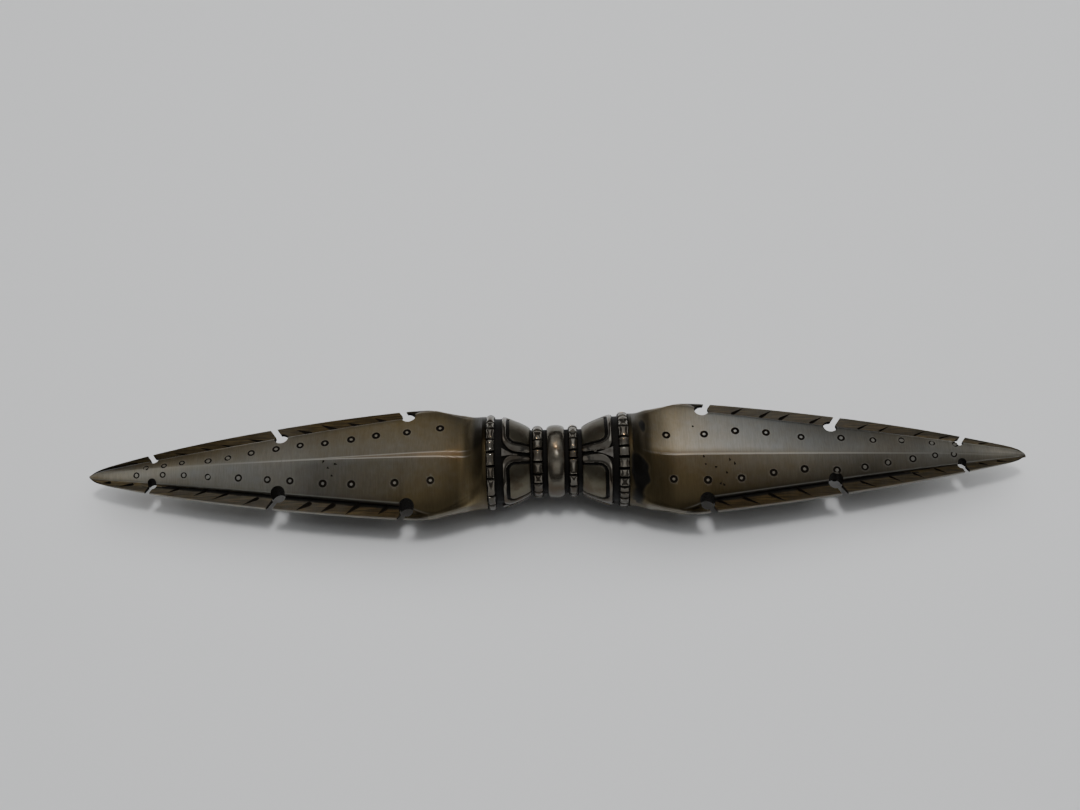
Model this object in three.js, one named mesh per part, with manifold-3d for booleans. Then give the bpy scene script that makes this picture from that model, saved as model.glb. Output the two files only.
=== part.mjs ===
// Double-ended ritual dagger of the phurba family: two forged two-edged blades on a lotus hub.
// Millimetres. +X runs along the dagger, +Z is up with the blades lying flat, and z = 0 is the surface
// that the two outer beaded rings rest on. The hub's knop is at x = 0.

import * as THREE from "three";
import { mergeVertices } from "three/addons/utils/BufferGeometryUtils.js";
import Module from "manifold-3d";

const wasm = await Module();
wasm.setup();

// Overall sizes
const overallLength = 261;
const axisHeight = 13.4; // the hub's axis above the surface, which is also the outer rings' radius

// Centre knop
const knopWidth = 6.9;
const knopRadius = 10.2;
const knopNeckWidth = 1.0; // plain neck left on each side of the knop's round
const hubNeckRadius = 8.8; // bottom of the dark grooves between the hub's pieces

// Spindle that the hub's pieces are threaded on, with its ends brazed into the blades
const spindleRadius = 4.5;
const spindleReach = 9; // how far each end goes into its blade
const spindleEndGap = 0.5;
const boreClearance = 0.15;

// Beaded rings
const leftInnerRing = { width: 3.0, radius: 10.1, rootRadius: 9.3, beads: 20, gapShare: 0.24 };
const rightInnerRing = { width: 2.6, radius: 10.1, rootRadius: 9.3, beads: 20, gapShare: 0.24 };
const leftOuterRing = { width: 2.4, radius: axisHeight, rootRadius: 12.4, beads: 20, gapShare: 0.22 };
const rightOuterRing = { width: 2.9, radius: axisHeight, rootRadius: 12.5, beads: 30, gapShare: 0.28 };
const beadEdgeRound = 0.45;

// Both lotus cups, from the inner ring out to the outer ring
const anyCup = {
  bandRadius: 12.1, // sunk plain band against the outer ring
  lipWidth: 0.3, // slope from the petals' ends down to that band
  baseRadius: 9.2,
  rimRadius: 12.9,
  flare: 0.72, // below 1 the cup's side bulges between neck and rim
  petals: 4,
  petalTurn: 14, // degrees that the joint between two petals is turned from the upright plane
  petalGap: 0.8, // width of the groove between petals at the rim
  petalRelief: 0.8, // how far the petals stand out from their ground
  petalEdgeRound: 0.5,
  endBorder: 1.15, // width of the plain border along a petal's end
  panelGroove: 0.75, // groove between border and inner panel
  panelRelief: 0.6,
  panelCorner: 2.0,
  tipLength: 3.4, // small pointed petal that shows between two large ones
  tipSpread: 0.43, // its half width for each millimetre of its length
  tipRelief: 0.2,
};

// The hand-carved cups differ a little. Petal corners and side borders come in pairs: on the petal that
// follows a joint, going round from the far side over the top, and on the one before it.
const leftCup = {
  ...anyCup,
  neckWidth: 0.5, // plain neck against the inner ring
  petalLength: 7.7,
  bandWidth: 1.9,
  petalCorners: [2.2, 4.3],
  sideBorders: [2.1, 2.8],
};
const rightCup = {
  ...anyCup,
  neckWidth: 1.1,
  petalLength: 8.3,
  bandWidth: 1.6,
  petalCorners: [4.3, 2.5],
  sideBorders: [3.0, 2.5],
};

// Both blades, measured outwards from the hub's middle
const anyBlade = {
  flangeRadius: 12.8, // round root flange against the outer ring
  flangeLength: 0.9,
  neckEnd: 26.5, // where the round root has become the flat blade
  neckHalfThickness: 5.4,
  neckSquareness: 3.2, // power of the neck's rounded section, 2 is an ellipse
  shoulder: 38, // widest place
  shoulderEdge: 1.5, // half thickness of the shoulder's rounded edge, before the rebate
  heightFall: 0.5, // share of height lost between shoulder and tip
  noseSharpness: 7,
  shoulderRound: 0.55, // below 1 the faces bulge: much at the shoulder, a little along the blade
  roofRound: 0.86,
  finHalfThickness: 0.6,
  finRootHalfThickness: 0.85,
  rebateStart: 32.5, // the fins' rebate begins in a point here
  rebateFull: 43,
  lobeShareAtShoulder: 0.8,
  lobeShareLoss: 0.3,
  tipDroop: 3.0, // the forging bows down a little towards each tip
  noseReach: 3, // where a blade's nose is swollen most, from its end
};

// The two hand-made blades differ a little in width, belly and ridge.
const leftBlade = {
  ...anyBlade,
  neckHalfWidth: 13.3,
  shoulderHalfWidth: 16.7,
  bellyPower: 1.25,
  tipPower: 0.71,
  noseSwell: 0.45, // extra half width of the blunt nose
  crestOffset: 0.3, // how far the ridge lies off the blade's middle, towards the far side
  ridgeHeight: 5.9,
  lobeEdgeHeight: 3.3,
};
const rightBlade = {
  ...anyBlade,
  neckHalfWidth: 14.0,
  shoulderHalfWidth: 16.9,
  bellyPower: 1.15,
  tipPower: 0.74,
  noseSwell: 0.6,
  crestOffset: -0.8,
  ridgeHeight: 4.4,
  lobeEdgeHeight: 2.8,
};

// Keyhole notches in the fins
const keyholes = {
  places: [41, 76.5, 112],
  radii: [2.1, 2.0, 1.25],
  slotWidths: [1.7, 1.7, 1.3],
  slotLean: 35, // degrees that a slot leans towards the tip
  outOfLobe: 0.1, // how far a hole's centre lies outside the lobe's edge
};

const steelDark = 0x6b6a63;
const steelBright = 0x85837c;

const halfLength = overallLength / 2;
const deg = Math.PI / 180;
const boreRadius = spindleRadius + boreClearance;
const facesRound = 64;

const smooth = (t) => {
  const k = Math.min(1, Math.max(0, t));
  return k * k * (3 - 2 * k);
};
const mix = (a, b, t) => a + (b - a) * t;

// Joins closed rings of points, all of the same count, into one skin. The rings run anticlockwise seen
// from the skin's far end. With closeLoop the last ring meets the first, otherwise both ends are capped.
function skinOf(rings, closeLoop) {
  const count = rings[0].length;
  const position = rings.flat(2);
  const index = [];
  const links = closeLoop ? rings.length : rings.length - 1;
  for (let i = 0; i < links; i++) {
    const here = i * count;
    const there = ((i + 1) % rings.length) * count;
    for (let j = 0; j < count; j++) {
      const k = (j + 1) % count;
      index.push(here + j, here + k, there + k);
      index.push(here + j, there + k, there + j);
    }
  }
  if (!closeLoop) {
    for (const [ring, flip] of [[0, true], [rings.length - 1, false]]) {
      const middle = [0, 1, 2].map((a) => rings[ring].reduce((sum, p) => sum + p[a], 0) / count);
      const centre = position.length / 3;
      position.push(...middle);
      for (let j = 0; j < count; j++) {
        const a = ring * count + j;
        const b = ring * count + ((j + 1) % count);
        index.push(...(flip ? [centre, b, a] : [centre, a, b]));
      }
    }
  }
  const geometry = new THREE.BufferGeometry();
  geometry.setAttribute("position", new THREE.Float32BufferAttribute(position, 3));
  geometry.setIndex(index);
  return geometry;
}

// A solid for joining and cutting, from a closed geometry.
function solidOf(geometry) {
  const bare = geometry.clone();
  bare.deleteAttribute("normal");
  bare.deleteAttribute("uv");
  const merged = mergeVertices(bare, 1e-4);
  return new wasm.Manifold(
    new wasm.Mesh({
      numProp: 3,
      vertProperties: new Float32Array(merged.attributes.position.array),
      triVerts: new Uint32Array(merged.index.array),
    }),
  );
}

function geometryOf(solid) {
  const mesh = solid.getMesh();
  const geometry = new THREE.BufferGeometry();
  geometry.setAttribute("position", new THREE.BufferAttribute(mesh.vertProperties, 3));
  geometry.setIndex(new THREE.BufferAttribute(mesh.triVerts, 1));
  geometry.computeVertexNormals();
  return geometry;
}

function metalMesh(name, geometry, colour, roughness) {
  const material = new THREE.MeshStandardMaterial({ color: colour, roughness, metalness: 1 });
  material.flatShading = true;
  const mesh = new THREE.Mesh(geometry, material);
  mesh.name = name;
  return mesh;
}

// A ring about the X axis. profileAt(angle) gives its section as [x, radius] points, anticlockwise with
// x to the right and the radius up; angle 0 points straight down.
function turnedRing(angles, profileAt) {
  const rings = angles.map((angle) =>
    profileAt(angle).map(([x, r]) => [x, r * Math.sin(angle), -r * Math.cos(angle)]),
  );
  return skinOf(rings, true);
}

const evenAngles = (count) => Array.from({ length: count }, (_, i) => (i * 2 * Math.PI) / count);

// Beads are flat-topped blocks parted by chisel cuts, with one bead straight below the axis.
function beadedRing(x0, ring) {
  const x1 = x0 + ring.width;
  const pitch = (2 * Math.PI) / ring.beads;
  const halfTop = (pitch * (1 - ring.gapShare)) / 2;
  const topRadius = ring.radius / Math.cos(halfTop);
  const angles = [];
  for (let i = 0; i < ring.beads; i++) {
    angles.push(i * pitch - halfTop, i * pitch + halfTop, (i + 0.5) * pitch);
  }
  return turnedRing(angles, (angle) => {
    const fromBead = Math.abs(angle / pitch - Math.round(angle / pitch)) * pitch;
    const r = fromBead > halfTop * 1.01 ? ring.rootRadius : topRadius;
    const low = Math.min(ring.rootRadius, r) - beadEdgeRound;
    return [
      [x0, boreRadius],
      [x1, boreRadius],
      [x1, low],
      [x1 - beadEdgeRound, r],
      [x0 + beadEdgeRound, r],
      [x0, low],
    ];
  });
}

// Plain round knop with a short neck on each side.
function knop() {
  const half = knopWidth / 2;
  const round = half - knopNeckWidth;
  const arc = Array.from({ length: 9 }, (_, i) => {
    const a = (i / 8) * Math.PI;
    return [Math.cos(a) * round, hubNeckRadius + (knopRadius - hubNeckRadius) * Math.sin(a) ** 0.7];
  });
  const bore = [[-half, boreRadius], [half, boreRadius]];
  const profile = [...bore, [half, hubNeckRadius], ...arc, [-half, hubNeckRadius]];
  return turnedRing(evenAngles(facesRound), () => profile);
}

// Distance inside an outline with two straight sides that meet in a rounded corner.
function insideCorner(fromOne, fromOther, corner) {
  const one = Math.max(0, corner - fromOne);
  const other = Math.max(0, corner - fromOther);
  return Math.min(fromOne, fromOther, corner - Math.hypot(one, other));
}

// How far the cup's skin is cut back at a place on it. fromEnd is the distance from the rim, and
// fromJoint the distance from the joint between two petals, measured at the rim. hand is 0 on the petal
// that follows the joint and 1 on the one before it.
function petalCut(cup, fromEnd, fromJoint, hand) {
  const fromSide = fromJoint - cup.petalGap / 2;
  const inside = insideCorner(fromEnd, fromSide, cup.petalCorners[hand]);
  const edge = cup.petalRelief * (1 - smooth(inside / cup.petalEdgeRound + 0.5));
  const fromBorder = fromSide - cup.sideBorders[hand];
  const intoPanel = insideCorner(fromEnd - cup.endBorder, fromBorder, cup.panelCorner);
  const fromGroove = Math.abs(intoPanel - cup.panelGroove / 2);
  const groove = cup.panelRelief * Math.max(0, 1 - fromGroove / cup.panelGroove);
  const insideTip = (cup.tipLength - fromEnd) * cup.tipSpread - fromJoint;
  return insideTip > 0 ? Math.min(edge, cup.tipRelief) : Math.max(edge, groove);
}

// Where the cup's skin has points: shares of the way across a petal, and distances from the rim.
function petalGrid(cup) {
  const arc = (2 * Math.PI * cup.rimRadius) / cup.petals;
  const side = cup.petalGap / 2;
  const near = cup.sideBorders.map((border) => {
    const groove = side + border + cup.panelGroove / 2;
    const places = [0, side, side + cup.petalEdgeRound, side + border * 0.6, groove - cup.panelGroove];
    return [...places, groove, groove + cup.panelGroove].map((d) => d / arc);
  });
  const far = near[1].slice(1).reverse().map((share) => 1 - share);
  const groove = cup.endBorder + cup.panelGroove / 2;
  const fromEnds = [1, 0.8, 0.6, 0.45].map((share) => share * cup.petalLength);
  fromEnds.push(groove + cup.panelGroove, groove, groove - cup.panelGroove, cup.petalEdgeRound, 0);
  return { shares: [...near[0], 0.5, ...far], fromEnds, arc };
}

// A lotus cup opens from its neck to its rim, with large petals that point to the blade. side is 1 for
// the cup on +X and -1 for the one on -X.
function lotusCup(cup, x0, side) {
  const { shares, fromEnds, arc } = petalGrid(cup);
  const sector = (2 * Math.PI) / cup.petals;
  const turn = cup.petalTurn * deg;
  const angles = [];
  for (let i = 0; i < cup.petals; i++) {
    shares.forEach((share) => angles.push((i + share) * sector + turn));
  }
  const end = cup.neckWidth + cup.petalLength;
  return turnedRing(angles, (angle) => {
    const share = (angle - turn) / sector - Math.floor((angle - turn) / sector + 1e-9);
    const fromJoint = Math.min(share, 1 - share) * arc;
    const hand = share < 0.5 ? 0 : 1;
    const outer = fromEnds.map((fromEnd) => {
      const t = 1 - fromEnd / cup.petalLength;
      const r = mix(cup.baseRadius, cup.rimRadius, t ** cup.flare);
      return [end - fromEnd, r - petalCut(cup, fromEnd, fromJoint, hand)];
    });
    const profile = [
      [0, boreRadius],
      [end + cup.bandWidth, boreRadius],
      [end + cup.bandWidth, cup.bandRadius],
      [end + cup.lipWidth, cup.bandRadius],
      ...outer.reverse(),
      [cup.neckWidth, hubNeckRadius],
      [0, hubNeckRadius],
    ];
    const placed = profile.map(([x, r]) => [x0 + side * x, r]);
    return side > 0 ? placed : placed.reverse();
  });
}

// How far along from the shoulder to the tip a place is, as a share.
const taperShare = (s, blade) => Math.max(0, (s - blade.shoulder) / (halfLength - blade.shoulder));

// How far the fins' rebate has opened, as a share.
const rebateShare = (s, blade) =>
  Math.min(1, Math.max(0, (s - blade.rebateStart) / (blade.rebateFull - blade.rebateStart)));

// Half width of the blade at s from the hub's middle.
function bladeHalfWidth(s, blade) {
  if (s <= blade.shoulder) {
    const swell = smooth((s - blade.root) / (blade.shoulder - blade.root));
    return mix(blade.neckHalfWidth, blade.shoulderHalfWidth, swell);
  }
  const left = Math.max(0, 1 - taperShare(s, blade) ** blade.bellyPower);
  const fromNose = (halfLength - s) / blade.noseReach;
  const swelling = blade.noseSwell * fromNose * Math.exp(1 - fromNose);
  return blade.shoulderHalfWidth * left ** blade.tipPower + swelling;
}

// Half width of the raised lobe: the whole blade before the rebate, and a falling share of it after.
function lobeHalfWidth(s, blade) {
  const share = blade.lobeShareAtShoulder - blade.lobeShareLoss * taperShare(s, blade);
  return bladeHalfWidth(s, blade) * mix(1, share, rebateShare(s, blade));
}

const sectionAngles = [12, 27, 42, 57, 72, 84, 90]; // where a section's points lie round the neck
const roofShares = [0.66, 0.33, 0.08, 0]; // and across the roof's faces, from its edge to the ridge

// One quarter of the flat blade's section, as [y, z] points from the edge to the ridge.
function flatQuarter(s, blade) {
  const width = bladeHalfWidth(s, blade);
  const lobe = lobeHalfWidth(s, blade);
  const u = taperShare(s, blade);
  const height = (1 - blade.heightFall * u) * Math.max(0, 1 - u ** blade.noseSharpness) ** 0.5;
  const opened = smooth(rebateShare(s, blade));
  const ridge = blade.ridgeHeight * height;
  const corner = mix(blade.shoulderEdge, blade.lobeEdgeHeight * height, opened);
  const finEdge = blade.finHalfThickness * Math.min(1, height * 1.6);
  const finRoot = mix(corner * 0.7, Math.min(blade.finRootHalfThickness, corner * 0.7), opened);
  const rootY = mix(width * 0.995, lobe + Math.min(0.25, (width - lobe) * 0.2), opened);
  const bulge = mix(blade.shoulderRound, blade.roofRound, opened);
  const roof = roofShares.map((k) => [lobe * k, corner + (ridge - corner) * (1 - k) ** bulge]);
  return [[width, finEdge], [rootY, finRoot], [Math.min(lobe, width * 0.985), corner], ...roof];
}

// One quarter of the neck's section, which is round at the flange and a rounded slab at the neck's end.
function neckQuarter(s, blade) {
  const fromFlange = s - blade.root - blade.flangeLength;
  const fall = Math.min(1, Math.max(0, fromFlange / (blade.neckEnd - blade.root)));
  const width = mix(blade.flangeRadius, bladeHalfWidth(s, blade), smooth(fall * 1.4));
  const height = mix(blade.neckHalfThickness, blade.flangeRadius, (1 - fall) ** 2.6);
  const power = 2 / mix(blade.neckSquareness, 2, (1 - fall) ** 2);
  return sectionAngles.map((a) => [
    width * Math.max(0, Math.cos(a * deg)) ** power,
    height * Math.sin(a * deg) ** power,
  ]);
}

function bladeSection(s, blade) {
  const flatness = smooth((s - blade.root - blade.flangeLength) / (blade.rebateStart - blade.root));
  const neck = neckQuarter(s, blade);
  const quarter = flatQuarter(s, blade).map(([y, z], i) => [
    mix(neck[i][0], y, flatness),
    mix(neck[i][1], z, flatness),
  ]);
  const upper = [...quarter, ...quarter.slice(0, -1).reverse().map(([y, z]) => [-y, z])];
  const loop = [...upper, ...upper.map(([y, z]) => [-y, -z])];
  const sag = -blade.tipDroop * ((s - blade.root) / (halfLength - blade.root)) ** 2;
  const lobe = lobeHalfWidth(s, blade);
  const aside = (y) => blade.crestOffset * flatness * Math.max(0, 1 - Math.abs(y) / lobe);
  return loop.map(([y, z]) => [s, y + aside(y), z + sag]);
}

// Stations lie closer where the neck turns and at the nose.
function bladeStations(blade) {
  const neck = [0, blade.flangeLength, 1.6, 2.4, 3.4, 4.6, 6, 8, 10, 12].map((d) => blade.root + d);
  const body = [];
  for (let s = blade.rebateStart + 0.6; s < blade.rebateFull; s += 2.2) {
    body.push(s);
  }
  for (let s = blade.rebateFull; s < halfLength - 14; s += 6) {
    body.push(s);
  }
  const nose = [12, 9, 6.5, 4.5, 2.8, 1.5, 0.6, 0.05].map((d) => halfLength - d);
  return [...neck.filter((s) => s < blade.rebateStart), ...body, ...nose];
}

// A forged blade on +X: lofted sections, keyhole notches and a blind socket in the root face.
function bladeSolid(blade) {
  const rings = bladeStations(blade).map((s) => bladeSection(s, blade));
  let solid = solidOf(skinOf(rings, false));
  keyholes.places.forEach((place, i) => {
    for (const hand of [1, -1]) {
      solid = solid.subtract(keyholeCutter(place, hand, i, blade));
    }
  });
  const socket = new THREE.CylinderGeometry(boreRadius, boreRadius, 2 * (spindleReach + spindleEndGap), 32);
  socket.rotateZ(Math.PI / 2);
  socket.translate(blade.root, 0, 0);
  return solid.subtract(solidOf(socket));
}

// A round hole on the lobe's edge with a slot that leans out through the fin towards the tip.
function keyholeCutter(place, hand, i, blade) {
  const tall = 4 * blade.ridgeHeight;
  const centre = lobeHalfWidth(place, blade) + keyholes.outOfLobe;
  const hole = new THREE.CylinderGeometry(keyholes.radii[i], keyholes.radii[i], tall, 20);
  hole.rotateX(Math.PI / 2);
  const reach = 2 * (bladeHalfWidth(place, blade) - centre) + keyholes.radii[i];
  const slot = new THREE.BoxGeometry(keyholes.slotWidths[i], reach, tall);
  slot.translate(0, reach / 2, 0);
  slot.rotateZ(-keyholes.slotLean * deg);
  const cutter = solidOf(hole).add(solidOf(slot));
  const turned = hand > 0 ? cutter : cutter.mirror([0, 1, 0]);
  return turned.translate([place, hand * centre, 0]);
}

function spindle(x0, x1) {
  const rod = new THREE.CylinderGeometry(spindleRadius, spindleRadius, x1 - x0, 32);
  rod.rotateZ(Math.PI / 2);
  rod.translate((x0 + x1) / 2, 0, 0);
  return rod;
}

// The pieces stand face to face along the axis, from the knop outwards.
function assemble() {
  const dagger = new THREE.Group();
  const sides = [
    { name: "left", side: -1, inner: leftInnerRing, cup: leftCup, outer: leftOuterRing },
    { name: "right", side: 1, inner: rightInnerRing, cup: rightCup, outer: rightOuterRing },
  ];
  const forms = { left: leftBlade, right: rightBlade };
  dagger.add(metalMesh("centre_knop", knop(), steelBright, 0.3));
  const roots = {};
  for (const { name, side, inner, cup, outer } of sides) {
    const innerStart = knopWidth / 2;
    const cupStart = innerStart + inner.width;
    const outerStart = cupStart + cup.neckWidth + cup.petalLength + cup.bandWidth;
    const root = outerStart + outer.width;
    roots[name] = root;
    const ringX = (start, ring) => (side > 0 ? start : -start - ring.width);
    const innerBeads = beadedRing(ringX(innerStart, inner), inner);
    const outerBeads = beadedRing(ringX(outerStart, outer), outer);
    dagger.add(metalMesh(name + "_inner_beaded_ring", innerBeads, steelBright, 0.3));
    dagger.add(metalMesh(name + "_lotus_cup", lotusCup(cup, side * cupStart, side), steelBright, 0.32));
    dagger.add(metalMesh(name + "_outer_beaded_ring", outerBeads, steelBright, 0.3));
    const solid = bladeSolid({ ...forms[name], root });
    const turned = side > 0 ? solid : solid.mirror([1, 0, 0]);
    dagger.add(metalMesh(name + "_blade", geometryOf(turned), steelDark, 0.42));
  }
  const rod = spindle(-roots.left - spindleReach, roots.right + spindleReach);
  dagger.add(metalMesh("hub_spindle", rod, steelDark, 0.5));
  dagger.position.z = axisHeight;
  return dagger;
}

const phurba = new THREE.Group();
phurba.add(assemble());

export default phurba;
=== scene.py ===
import bpy
import math
import numpy as np
from mathutils import Matrix, Vector
from mathutils.bvhtree import BVHTree


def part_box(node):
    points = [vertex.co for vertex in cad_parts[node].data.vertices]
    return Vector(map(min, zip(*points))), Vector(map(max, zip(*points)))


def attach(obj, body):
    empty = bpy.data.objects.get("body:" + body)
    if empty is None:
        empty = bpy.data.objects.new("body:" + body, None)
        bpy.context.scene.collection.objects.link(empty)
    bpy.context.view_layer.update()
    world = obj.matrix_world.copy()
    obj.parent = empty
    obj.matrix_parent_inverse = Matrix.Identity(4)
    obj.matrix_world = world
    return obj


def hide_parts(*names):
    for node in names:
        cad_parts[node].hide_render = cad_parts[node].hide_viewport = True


# Double-ended ritual dagger: two forged two-edged blades on a lotus hub, lying on a pale floor.
# Shapes are worked out in millimetres from the hub's middle and put into the meshes in metres.
# s is always the distance along the dagger from the hub's middle, whichever way the blade points.

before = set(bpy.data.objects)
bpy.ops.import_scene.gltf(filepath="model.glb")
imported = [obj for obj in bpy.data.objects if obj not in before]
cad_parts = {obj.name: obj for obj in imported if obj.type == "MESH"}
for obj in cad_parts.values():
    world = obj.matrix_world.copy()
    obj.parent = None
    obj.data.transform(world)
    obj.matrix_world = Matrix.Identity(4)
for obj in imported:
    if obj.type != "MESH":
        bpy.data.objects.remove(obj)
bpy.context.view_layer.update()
mm = 0.001
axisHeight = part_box("left_outer_beaded_ring")[1].z / mm / 2  # the outer rings rest on the floor
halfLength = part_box("right_blade")[1].x / mm


# Where a node starts and ends along the dagger, in millimetres from the hub's middle.
def reachOf(node):
    return sorted(abs(corner.x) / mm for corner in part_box(node))


def unit(t):
    return np.clip(t, 0, 1)


def smooth(t):
    k = unit(t)
    return k * k * (3 - 2 * k)


def mix(a, b, t):
    return a + (b - a) * t


# A soft line: 1 where t is 0, less to both sides.
def soften(t):
    return np.exp(-t ** 2)


# Point numbers and quads of a grid of closed loops. wrapRows joins the last loop to the first.
def gridFaces(rows, columns, wrapRows):
    index = np.arange(rows * columns).reshape(rows, columns)
    if wrapRows:
        index = np.concatenate([index, index[:1]])
    here, there = index[:-1], index[1:]
    return index, np.stack([here, np.roll(here, -1, 1), np.roll(there, -1, 1), there], -1).reshape(-1, 4)


# A mesh from a grid of points. Where the rows aren't wrapped, the first and last are closed with a fan to
# their middle. flip turns the faces round.
def gridPiece(name, points, wrapRows=False, flip=False):
    rows, columns = points.shape[:2]
    index, quads = gridFaces(rows, columns, wrapRows)
    flat = points.reshape(-1, 3)
    faces = quads.tolist()
    if not wrapRows:
        centres = np.stack([points[0].mean(0), points[-1].mean(0)])
        flat = np.concatenate([flat, centres])
        start, end = rows * columns, rows * columns + 1
        firstFan = np.stack([np.roll(index[0], -1), index[0], np.full(columns, start)], -1)
        lastFan = np.stack([index[-1], np.roll(index[-1], -1), np.full(columns, end)], -1)
        faces += firstFan.tolist() + lastFan.tolist()
    if flip:
        faces = [face[::-1] for face in faces]
    return meshPiece(name, flat, faces)


def addObject(name, data):
    thing = bpy.data.objects.new(name, data)
    bpy.context.scene.collection.objects.link(thing)
    return thing


def meshPiece(name, points, faces):
    mesh = bpy.data.meshes.new(name)
    placed = np.add(points, [0, 0, axisHeight]) * mm
    mesh.from_pydata(placed.tolist(), [], faces)
    mesh.update()
    return addObject(name, mesh)


# Points of an object, in millimetres from the hub's middle.
def pointsOf(piece):
    flat = np.zeros(len(piece.data.vertices) * 3)
    piece.data.vertices.foreach_get("co", flat)
    return flat.reshape(-1, 3) / mm - [0, 0, axisHeight]


def storeValue(piece, name, values):
    attribute = piece.data.attributes.new(name, "FLOAT", "POINT")
    attribute.data.foreach_set("value", np.asarray(values, np.float32))


def shadeRound(piece, degrees):
    piece.data.polygons.foreach_set("use_smooth", np.ones(len(piece.data.polygons), bool))
    piece.data.set_sharp_from_angle(angle=math.radians(degrees))


# Smooth unevenness from a sum of sines, the same each run.
def handmade(*coordinates, seed=0, waves=6, finest=1.0):
    made = np.random.default_rng(seed)
    total = 0
    for _ in range(waves):
        way = made.normal(0, finest, len(coordinates))
        phase = made.uniform(0, 2 * np.pi)
        total = total + np.sin(sum(w * c for w, c in zip(way, coordinates)) + phase)
    return total / waves


# Materials

# Joins an output to a socket, or sets the socket's value.
def link(source, socket):
    if isinstance(source, bpy.types.NodeSocket):
        socket.id_data.links.new(source, socket)
    else:
        socket.default_value = source


def addNode(tree, kind, **inputs):
    node = tree.nodes.new(kind)
    for name, value in inputs.items():
        link(value, node.inputs[name])
    return node


def maths(tree, operation, a, b, clamp):
    node = tree.nodes.new("ShaderNodeMath")
    node.operation = operation
    node.use_clamp = clamp
    link(a, node.inputs[0])
    link(b, node.inputs[1])
    return node.outputs[0]


def plus(tree, a, b, clamp=False):
    return maths(tree, "ADD", a, b, clamp)


def minus(tree, a, b, clamp=False):
    return maths(tree, "SUBTRACT", a, b, clamp)


def times(tree, a, b, clamp=False):
    return maths(tree, "MULTIPLY", a, b, clamp)


# A value carried from one range to another, with soft ends.
def ranged(tree, value, low, high, toLow=0, toHigh=1):
    node = tree.nodes.new("ShaderNodeMapRange")
    node.interpolation_type = "SMOOTHSTEP"
    for socket, given in zip(node.inputs, [value, low, high, toLow, toHigh]):
        link(given, socket)
    return node.outputs[0]


# Two colours mixed, or two values where kind is FLOAT.
def blend(tree, share, a, b, way="MIX", kind="RGBA"):
    node = tree.nodes.new("ShaderNodeMix")
    node.data_type, node.blend_type = kind, way
    for name, given in (("Factor", share), ("A", a), ("B", b)):
        link(given, node.inputs[name])
    return next(out for out in node.outputs if out.type == kind or kind == "FLOAT")


def noise(tree, place, scale, detail, roughness=0.55, stretch=(1, 1, 1)):
    mapped = addNode(tree, "ShaderNodeMapping", Vector=place, Scale=stretch).outputs[0]
    made = addNode(tree, "ShaderNodeTexNoise", Vector=mapped, Scale=scale, Detail=detail, Roughness=roughness)
    return made.outputs["Fac"]


def carried(tree, name):
    node = tree.nodes.new("ShaderNodeAttribute")
    node.attribute_name = name
    return node.outputs["Fac"]


def newMetal(name, dress, metallic=1.0):
    material = bpy.data.materials.new(name)
    material.use_nodes = True
    tree = material.node_tree
    shader = tree.nodes["Principled BSDF"]
    shader.inputs["Metallic"].default_value = metallic
    shader.inputs["Specular IOR Level"].default_value = 0.12
    dress(tree, shader, tree.nodes.new("ShaderNodeTexCoord").outputs["Object"])
    return material


# Colour and roughness of a metal, and its bump. A height of 1 stands for distance, in metres.
def applyLook(tree, shader, colour, rough, height, distance, strength):
    link(colour, shader.inputs["Base Color"])
    link(rough, shader.inputs["Roughness"])
    bump = addNode(tree, "ShaderNodeBump", Height=height, Distance=distance, Strength=strength)
    link(bump.outputs[0], shader.inputs["Normal"])


hubFinish = {
    "polished": (0.22, 0.205, 0.178, 1),
    "satin": (0.118, 0.108, 0.08, 1),
    "tipHighlight": (0.42, 0.4, 0.37, 1),
    "grime": (0.003, 0.0026, 0.0022, 1),
    "brown": (0.07, 0.05, 0.032, 1),
    # Two keys set the painted shade on the hub's sides and underside: its strength (last on the next line) and
    # where it starts.
    "polishedRoughness": 0.085, "satinRoughness": 0.36, "tarnish": 0.65, "sideShadeStrength": 0.65,
    "sideShadeFrom": (0.82, 0.6),  # height over the axis where it starts, and its span, in radii
}


# Bright steel worn by handling. "depth" is 1 at the bottom of a cut. "panel" is 1 on a petal's inner face and
# -1 on the small pointed petals, which are given a lighter colour as a painted highlight. A third attribute is
# 1 on the sides and underside and darkens them: painted shade.
def hubSteel(tree, shader, place):
    depth = carried(tree, "depth")
    panel = carried(tree, "panel")
    cloud = noise(tree, place, 260, 4)  # patches about 4 mm across
    grain = noise(tree, place, 2600, 3)
    scratch = noise(tree, place, 1100, 3, 0.6, (0.25, 1.6, 1.6))  # fine lines along the dagger
    soft = blend(tree, panel, hubFinish["polished"], hubFinish["satin"])
    # Painted highlight: the small pointed petals (panel -1) are given a lighter colour.
    soft = blend(tree, times(tree, panel, -0.7, clamp=True), soft, hubFinish["tipHighlight"])
    # Painted shade: the sides and underside are made darker than the top.
    bare = minus(tree, 1.0, times(tree, carried(tree, "paintedSideShade"), hubFinish["sideShadeStrength"]))
    soft = blend(tree, 1.0, soft, bare, "MULTIPLY")
    tarnish = times(tree, ranged(tree, cloud, 0.42, 0.68), hubFinish["tarnish"])
    tarnished = blend(tree, tarnish, soft, hubFinish["brown"])
    worn = plus(tree, depth, times(tree, minus(tree, grain, 0.5), 0.4))
    dirt = ranged(tree, worn, 0.2, 0.5)
    colour = blend(tree, dirt, tarnished, hubFinish["grime"])
    rough = blend(tree, panel, hubFinish["polishedRoughness"], hubFinish["satinRoughness"], kind="FLOAT")
    rough = plus(tree, rough, times(tree, minus(tree, scratch, 0.5), 0.2))
    rough = plus(tree, rough, times(tree, dirt, 0.45), clamp=True)
    link(minus(tree, 1.0, dirt), shader.inputs["Metallic"])
    height = plus(tree, cloud, times(tree, scratch, 0.2))
    applyLook(tree, shader, colour, rough, height, 0.00018, 0.5)


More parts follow.
